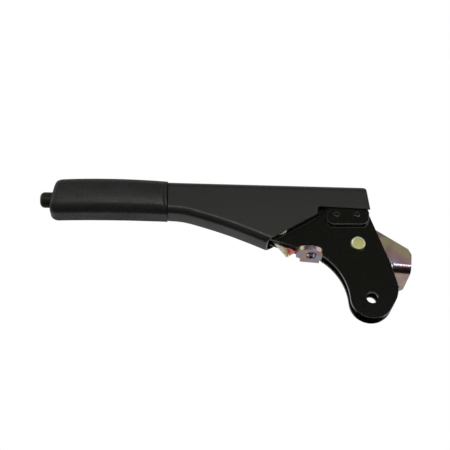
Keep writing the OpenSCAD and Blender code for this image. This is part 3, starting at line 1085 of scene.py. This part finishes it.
@dataclass
class Handle(SubAssembly):
    """The pressed handle and the grip that is pushed over its tube.

    Places on the grip's axis are counted from its rear end to the rear, so those on the grip are negative.

    Attributes:
        pressed_edge: rounding of the pressing's edges.
        inner_edge: rounding of the guides' and the spring seat's edges.
        rear: the grip axis's end, in X and Z.
        tilt: angle of the grip's axis, in degrees.
        length: the grip's length.
        width: the grip's width.
        height: the grip's height.
        edge_r: radius of the section's corners.
        bulge: how much narrower the section is at its top and bottom than at its middle.
        arch: how far the grip bows up.
        crown: how much the grip swells.
        crown_at: distance of its fullest section from the rear end, as a share of its length.
        nose_r: length of the rounded nose.
        nose_size: size of the nose's flat front.
        nose_slant: how far the front leans back for its height.
        nose_lift: how far the nose's front sits above the axis, which rounds it more below.
        nose_wall: thickness of the nose.
        chamfer: rounding of the rear end.
        overhang: how far the soft end is pushed up to the handle's shoulder.
        end_bow: how much further ahead the rear end is half-way up the sides.
        groove_at: distance of the groove from the rear end.
        groove_bow: how much further ahead the groove is half-way up the sides.
        groove_fade: length ahead of the groove over which that bow comes in.
        groove_w: width of the groove.
        groove_depth: depth of the groove half-way up the sides.
        socket: width and height of the hole that takes the tube.
        socket_r: radius of that hole's corners.
        socket_rings: places on the axis of the rings inside that hole.
        button_hole_r: radius of the button's hole.
        button_flare: how much wider that hole is at its mouth.
        flare_depth: how deep the wider mouth is.
        seam: height of the mould's two parting lines.
        seam_span: places on the axis where the lines start, are full, begin to run out, and end.
    """

    body: str = "lever"
    pressed_edge: float = 0.3
    inner_edge: float = 0.25
    rear: tuple[float, float] = (-165.3, 46.33)
    tilt: float = 4.6
    length: float = 97.0
    width: float = 30.8
    height: float = 31.15
    edge_r: float = 7.5
    bulge: float = 0.17
    arch: float = 1.3
    crown: float = 0.028
    crown_at: float = 0.62
    nose_r: float = 6.5
    nose_size: float = 0.78
    nose_slant: float = 0.19
    nose_lift: float = 1.2
    nose_wall: float = 8.0
    chamfer: float = 0.25
    overhang: float = 1.0
    end_bow: float = 1.0
    groove_at: float = 0.1
    groove_bow: float = 2.2
    groove_fade: float = 16.0
    groove_w: float = 0.9
    groove_depth: float = 1.1
    socket: tuple[float, float] = (23.6, 24.6)
    socket_r: float = 6.0
    socket_rings: tuple[float, ...] = (-0.6, -20.0)
    button_hole_r: float = 7.35
    button_flare: float = 0.5
    flare_depth: float = 0.8
    seam: float = 0.25
    seam_span: tuple[float, ...] = (-67.9, -59.9, -11.4, -5.4)

    # Points in each corner and along each side of a section
    CORNER_POINTS = 18
    SIDE_POINTS = 5
    # The parting lines are at this point of the lower corners, counted from the sides
    SEAM_POINT = 10
    # Rings along the nose, the body, the groove and the rounded rear end
    NOSE_RINGS = 18
    BODY_RINGS = 72
    GROOVE_RINGS = 9
    END_RINGS = 6
    # How much the rings crowd towards the nose's front, where it turns fastest
    NOSE_CROWDING = 1.8

    def build(self) -> None:
        """Dress the pressing and mould the grip over its tube."""
        self.skin("handle_channel", SATIN_BLACK, self.pressed_edge)
        grip = new_piece("hand_grip_moulding", self.grip_mesh(), GRAINED_VINYL)
        self.settle(grip, "hand_grip")
        self.skin("button_guide", NYLON, self.inner_edge)
        self.skin("spring_seat", STAMPED_STEEL, self.inner_edge)
        self.skin("rod_guide", NYLON, self.inner_edge)

    def outline(self, width: float, height: float, radius: float) -> np.ndarray:
        """Return the points of a rounded rectangle, with the same count for every size.

        Args:
            width: its size across.
            height: its size up.
            radius: its corners' radius.

        Returns:
            An array of Y and Z.
        """
        half = np.array([width / 2, height / 2])
        points = []
        for quarter, (a, b) in enumerate(((-1, -1), (1, -1), (1, 1), (-1, 1))):
            centre = (half - radius) * (a, b)
            turn = np.radians(180 + 90 * quarter + np.linspace(0, 90, self.CORNER_POINTS))
            points.append(centre + radius * np.stack([np.cos(turn), np.sin(turn)], axis=1))
        loop = []
        for here, there in zip(points, points[1:] + points[:1]):
            loop.append(here)
            share = np.linspace(0, 1, self.SIDE_POINTS + 2)[1:-1, None]
            loop.append(here[-1] + share * (there[0] - here[-1]))
        return np.concatenate(loop)

    def station(
        self, s: float | np.ndarray, outline: np.ndarray, rise: float, slant: float
    ) -> np.ndarray:
        """Place an outline across the grip's axis.

        Args:
            s: place on the axis, for all points or for each one.
            outline: the Y and Z of its points.
            rise: how far it is lifted.
            slant: how far it leans back for its height.

        Returns:
            The points in the row frame, in mm.
        """
        t = math.radians(self.tilt)
        along, up = s + slant * outline[:, 1], outline[:, 1] + rise
        x = self.rear[0] + along * math.cos(t) - up * math.sin(t)
        z = self.rear[1] + along * math.sin(t) + up * math.cos(t)
        return np.stack([x, outline[:, 0], z], axis=1)

    def section(self, s: float, inset: float = 0.0, dent: float = 0.0) -> np.ndarray:
        """Work out one section of the grip's outside.

        Args:
            s: place on the axis.
            inset: how far the whole section is drawn in.
            dent: how far its sides are drawn in half-way up.

        Returns:
            Its points in the row frame, in mm.
        """
        t = min(1.0, (s + self.length) / self.nose_r)
        size = self.nose_size + (1 - self.nose_size) * math.sqrt(max(0.0, 1 - (1 - t) ** 2))
        size *= 1 + self.crown * (1 - (s / (self.crown_at * self.length) + 1) ** 2)
        shape = self.outline(
            self.width * size - 2 * inset, self.height * size - 2 * inset, self.edge_r - inset
        )
        flank = 1 - (2 * shape[:, 1] / self.height) ** 2
        shape[:, 0] *= 1 - self.bulge * (1 - flank)
        shape[:, 0] -= np.sign(shape[:, 0]) * dent * flank
        ridge = float(np.interp(s, self.seam_span, (0.0, self.seam, self.seam, 0.0)))
        mirrored = 2 * self.CORNER_POINTS + self.SIDE_POINTS - 1 - self.SEAM_POINT
        for index in (self.SEAM_POINT, mirrored):
            shape[index] *= 1 + ridge / np.linalg.norm(shape[index])
        return self.station(s - self.bow(s) * flank, shape, self.rise(s), self.slant(s))

    def bow(self, s: float) -> float:
        """Return how far the sides are drawn ahead at s, in mm: most at the groove, less at the end."""
        places = (-self.groove_at - self.groove_fade, -self.groove_at, self.overhang)
        return float(np.interp(s, places, (0.0, self.groove_bow, self.end_bow)))

    def rise(self, s: float) -> float:
        """Return how far the grip bows up at s, in mm."""
        nose = max(0.0, 1 - (s + self.length) / self.nose_r)
        return self.arch * (1 - (2 * s / self.length + 1) ** 2) + self.nose_lift * nose**2

    def slant(self, s: float) -> float:
        """Return how far the section at s leans back for its height."""
        return self.nose_slant * max(0.0, 1 - 2 * (s + self.length) / self.length) ** 2

    def grip_mesh(self) -> bpy.types.Mesh:
        """Mould the grip: its crowned outside, groove and rear end, and the holes for tube and button.

        Returns:
            One closed mesh, in metres.
        """
        front = -self.length
        nose_end = front + self.nose_r
        body_end = -self.groove_at - self.groove_w
        nose = np.linspace(0, 1, self.NOSE_RINGS) ** self.NOSE_CROWDING
        rings = [self.section(front + self.nose_r * t) for t in nose]
        rings += [self.section(s) for s in np.linspace(nose_end, body_end, self.BODY_RINGS)[1:]]
        for share in np.linspace(0, 1, self.GROOVE_RINGS)[1:]:
            depth = self.groove_depth * math.sin(math.pi * share) ** 0.5 if share < 1 else 0
            rings.append(self.section(body_end + self.groove_w * share, dent=depth))
        rings.append(self.section((self.overhang - self.chamfer - self.groove_at) / 2))
        for turn in np.linspace(0, math.pi / 2, self.END_RINGS):
            s = self.overhang - self.chamfer * (1 - math.sin(turn))
            rings.append(self.section(s, self.chamfer * (1 - math.cos(turn))))
        tube = self.outline(*self.socket, self.socket_r)
        for s in (self.overhang, *self.socket_rings, front + self.nose_wall):
            rings.append(self.station(s, tube, 0.0, 0.0))
        around = self.outline(self.width, self.height, self.edge_r)
        hole = self.button_hole_r * around / np.linalg.norm(around, axis=1, keepdims=True)
        mouth = (1 + self.button_flare / self.button_hole_r) * hole
        rings.append(self.station(front + self.nose_wall, hole, 0.0, 0.0))
        rings.append(self.station(front + self.flare_depth, hole, 0.0, self.nose_slant))
        rings.append(self.station(front, mouth, 0.0, self.nose_slant))
        return ring_mesh("hand_grip_moulding", np.array(rings) * MM, True)


@dataclass
class Release(SubAssembly):
    """The push button with its rod, spring and yoke.

    Attributes:
        button_edge: rounding of the button's edges.
        clip_edge: rounding of the stamped clip's edges.
        turned_edge: rounding of the rod's, yoke's and pin's edges.
        spring_front: the spring's end at the button, in X and Z; not used.
        spring_kept: share of the spring's length that is left when the button is pushed in; not used.
    """

    body: str = "button"
    button_edge: float = 0.3
    clip_edge: float = 0.2
    turned_edge: float = 0.4
    spring_front: tuple[float, float] = (-238.06, 40.48)
    spring_kept: float = 0.745

    def build(self) -> None:
        """Dress the button and the pieces behind it."""
        self.skin("release_button", BUTTON_PLASTIC, self.button_edge)
        self.skin("rod_clip", STAMPED_STEEL, self.clip_edge)
        self.skin("release_rod", DRAWN_STEEL, self.turned_edge)
        self.skin("rod_yoke", DRAWN_STEEL, self.turned_edge)
        self.skin("link_pin", RIVET_ZINC, self.turned_edge)
        spring = self.skin("button_spring", DRAWN_STEEL, 0)
        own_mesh(spring)


@dataclass
class Pawl(SubAssembly):
    """The plated pawl between the side plates.

    Attributes:
        blanked_edge: rounding of the pawl's edges.
    """

    body: str = "pawl"
    blanked_edge: float = 0.5

    def build(self) -> None:
        """Dress the pawl."""
        self.skin("pawl", PAWL_ZINC, self.blanked_edge)


class Softness(Enum):
    """How large a lamp is beside the lever, as its width and height in metres."""

    BROAD = (1.6, 1.6)
    MEDIUM = (0.9, 0.9)
    STRIP = (1.5, 0.14)


@dataclass(frozen=True)
class Lamp:
    """A soft lamp that is aimed at the lever.

    Attributes:
        name: the lamp's name.
        place: where it stands, in metres.
        power: its power, in watts.
        size: its width and height.
        mirrored: True where polished surfaces show it.
    """

    name: str
    place: Point
    power: float
    size: Softness
    mirrored: bool = False

    def hang(self, aim: Vector) -> None:
        """Hang the lamp, aimed at a point.

        Args:
            aim: the point, in metres.
        """
        data = bpy.data.lights.new(self.name, "AREA")
        data.energy = self.power
        data.shape = "RECTANGLE"
        data.size, data.size_y = self.size.value
        piece = bpy.data.objects.new(self.name, data)
        piece.location = self.place
        piece.rotation_euler = (aim - Vector(self.place)).to_track_quat("-Z", "Y").to_euler()
        piece.visible_camera = False
        piece.visible_glossy = self.mirrored
        bpy.context.scene.collection.objects.link(piece)


@dataclass(frozen=True)
class Card:
    """A card that is only seen in reflections, where it gives the black paint its depth.

    Attributes:
        name: the card's name.
        low: one corner, in metres.
        high: the opposite corner, in metres.
        glow: how bright it is beside the white surround.
    """

    name: str
    low: Point
    high: Point
    glow: float

    def hang(self) -> None:
        """Hang the card between its corners."""
        (x0, y0, z0), (x1, y1, z1) = self.low, self.high
        corners = [(x0, y0, z0), (x1, y0, z0), (x1, y1, z1), (x0, y1, z1)]
        mesh = bpy.data.meshes.new(self.name)
        mesh.from_pydata(corners, [], [(0, 1, 2, 3)])
        material = bpy.data.materials.new(self.name)
        material.use_nodes = True
        tree = material.node_tree
        tree.nodes.clear()
        light = add_node(tree, "ShaderNodeEmission", {"Strength": self.glow})
        add_node(tree, "ShaderNodeOutputMaterial", {"Surface": light.outputs[0]})
        mesh.materials.append(material)
        piece = bpy.data.objects.new(self.name, mesh)
        for rays in ("camera", "diffuse", "transmission", "volume_scatter", "shadow"):
            setattr(piece, f"visible_{rays}", False)
        bpy.context.scene.collection.objects.link(piece)


@dataclass
class Studio:
    """The camera, lamps, cards, floor and white surround.

    Attributes:
        aim: the point that the camera looks at, in mm.
        below: angle that the camera looks up at, in degrees.
        roll: the camera's roll, in degrees.
        distance: distance of the camera from its aim, in mm.
        lens: focal length, in mm.
        sensor: width of the frame behind the lens, in mm.
        floor_z: height of the floor, in mm.
        floor_half: half of the floor's width, in metres.
        floor_colour: the floor's sRGB colour.
        floor_glow: how much paler than its lit colour the floor is seen.
        floor_fade: distances between which the floor fades to white, in metres.
        floor_mirrored: how bright the floor is in reflections.
        fill: strength of the surround's light on the lever.
        cards: the cards, two dark ones and a grey one overhead and behind.
        lamps: the lamps.
    """

    aim: Point = (-113.5, 0.0, 29.3)
    below: float = 24.0
    roll: float = 5.0
    distance: float = 950.0
    lens: float = 88.7
    sensor: float = 36.0
    floor_z: float = -46.2
    floor_half: float = 4.0
    floor_colour: str = "#f2f2f0"
    floor_glow: float = 0.55
    floor_fade: tuple[float, float] = (0.5, 1.6)
    floor_mirrored: float = 0.48
    fill: float = 0.08
    cards: tuple[Card, ...] = (
        Card("ceiling_card", (-1.3, -1.1, 0.23), (1.1, -0.6, 1.5), 0.01),
        Card("rear_card", (-1.3, -0.6, 1.5), (1.1, 0.9, 0.25), 0.45),
        Card("floor_card", (-0.9, -0.55, -0.0461), (0.5, 0.04, -0.0461), 0.01),
    )
    lamps: tuple[Lamp, ...] = (
        Lamp("key_lamp", (-0.5, -1.7, 0.6), 27.0, Softness.BROAD),
        Lamp("rear_lamp", (0.9, 0.9, 1.2), 4.5, Softness.MEDIUM),
        Lamp("front_strip", (0.36, -1.05, 0.07), 4.8, Softness.STRIP, True),
    )

    def build(self) -> None:
        """Set up the camera, floor, surround, cards and lamps."""
        bpy.context.scene.view_settings.view_transform = "Standard"
        self.camera()
        self.floor()
        self.surround()
        for card in self.cards:
            card.hang()
        for lamp in self.lamps:
            lamp.hang(Vector(self.aim) * MM)

    def camera(self) -> None:
        """Stand the camera below the lever, looking up at it and rolled a little."""
        tilt, roll = math.radians(self.below), math.radians(self.roll)
        ahead = Vector((0, math.cos(tilt), math.sin(tilt)))
        right, up = Vector((1, 0, 0)), Vector((0, -math.sin(tilt), math.cos(tilt)))
        across = right * math.cos(roll) + up * math.sin(roll)
        upward = up * math.cos(roll) - right * math.sin(roll)
        data = bpy.data.cameras.new("camera")
        data.lens = self.lens
        data.sensor_width = self.sensor
        data.clip_start = 0.01
        piece = bpy.data.objects.new("camera", data)
        place = (Vector(self.aim) - ahead * self.distance) * MM
        turn = Matrix((across, upward, -ahead)).transposed().to_4x4()
        piece.matrix_world = Matrix.Translation(place) @ turn
        bpy.context.scene.collection.objects.link(piece)
        bpy.context.scene.camera = piece

    def floor(self) -> None:
        """Lay a pale floor that is clear from below, where the camera stands."""
        work = bmesh.new()
        bmesh.ops.create_grid(work, x_segments=1, y_segments=1, size=self.floor_half)
        bmesh.ops.translate(work, verts=work.verts, vec=(self.aim[0] * MM, 0, self.floor_z * MM))
        mesh = bpy.data.meshes.new("floor")
        work.to_mesh(mesh)
        work.free()
        mesh.materials.append(self.floor_material())
        piece = bpy.data.objects.new("floor", mesh)
        bpy.context.scene.collection.objects.link(piece)

    def floor_material(self) -> bpy.types.Material:
        """Paint the floor: pale with the lever's shadow, fading to white, and light in reflections.

        Returns:
            The material.
        """
        material = bpy.data.materials.new("pale_floor")
        material.use_nodes = True
        tree = material.node_tree
        tree.nodes.clear()
        form = add_node(tree, "ShaderNodeNewGeometry")
        path = add_node(tree, "ShaderNodeLightPath")
        pale = add_node(tree, "ShaderNodeBsdfDiffuse", {"Color": linear(self.floor_colour)})
        white = add_node(tree, "ShaderNodeEmission", {"Strength": self.floor_mirrored})
        shown = add_node(
            tree,
            "ShaderNodeMixShader",
            {0: path.outputs["Is Glossy Ray"], 1: pale.outputs[0], 2: white.outputs[0]},
        )
        reach = add_node(
            tree, "ShaderNodeVectorMath", {0: form.outputs["Position"]}, operation="LENGTH"
        )
        fade = add_node(
            tree,
            "ShaderNodeMapRange",
            {
                "Value": reach.outputs["Value"],
                "From Min": self.floor_fade[0],
                "From Max": self.floor_fade[1],
                "To Min": self.floor_glow,
                "To Max": 1.0,
            },
            interpolation_type="SMOOTHSTEP",
        )
        lift = add_node(
            tree,
            "ShaderNodeMath",
            {0: path.outputs["Is Camera Ray"], 1: fade.outputs[0]},
            operation="MULTIPLY",
        )
        glow = add_node(tree, "ShaderNodeEmission", {"Strength": lift.outputs[0]})
        lifted = add_node(tree, "ShaderNodeAddShader", {0: shown.outputs[0], 1: glow.outputs[0]})
        clear = add_node(tree, "ShaderNodeBsdfTransparent")
        mix = add_node(
            tree,
            "ShaderNodeMixShader",
            {0: form.outputs["Backfacing"], 1: lifted.outputs[0], 2: clear.outputs[0]},
        )
        add_node(tree, "ShaderNodeOutputMaterial", {"Surface": mix.outputs[0]})
        return material

    def surround(self) -> None:
        """Surround the lever with white that is seen and reflected in full, and lights it softly."""
        world = bpy.data.worlds.new("surround")
        world.use_nodes = True
        bpy.context.scene.world = world
        tree = world.node_tree
        tree.nodes.clear()
        path = add_node(tree, "ShaderNodeLightPath")
        seen = path.outputs["Is Camera Ray"]
        for rays in ("Is Glossy Ray", "Is Transmission Ray"):
            either = add_node(
                tree, "ShaderNodeMath", {0: seen, 1: path.outputs[rays]}, operation="MAXIMUM"
            )
            seen = either.outputs[0]
        strength = add_node(
            tree, "ShaderNodeMapRange", {"Value": seen, "To Min": self.fill, "To Max": 1.0}
        )
        light = add_node(
            tree,
            "ShaderNodeBackground",
            {"Color": (1.0, 1.0, 1.0, 1.0), "Strength": strength.outputs[0]},
        )
        add_node(tree, "ShaderNodeOutputWorld", {"Surface": light.outputs[0]})


def main() -> None:
    """Build the studio and dress the lever, one sub-assembly after another."""
    logging.basicConfig(level=logging.INFO, format="%(name)s: %(message)s")
    Studio().build()
    for assembly in (Bracket(), SidePlates(), Handle(), Release(), Pawl()):
        assembly.build()


if __name__ == "__main__":
    main()
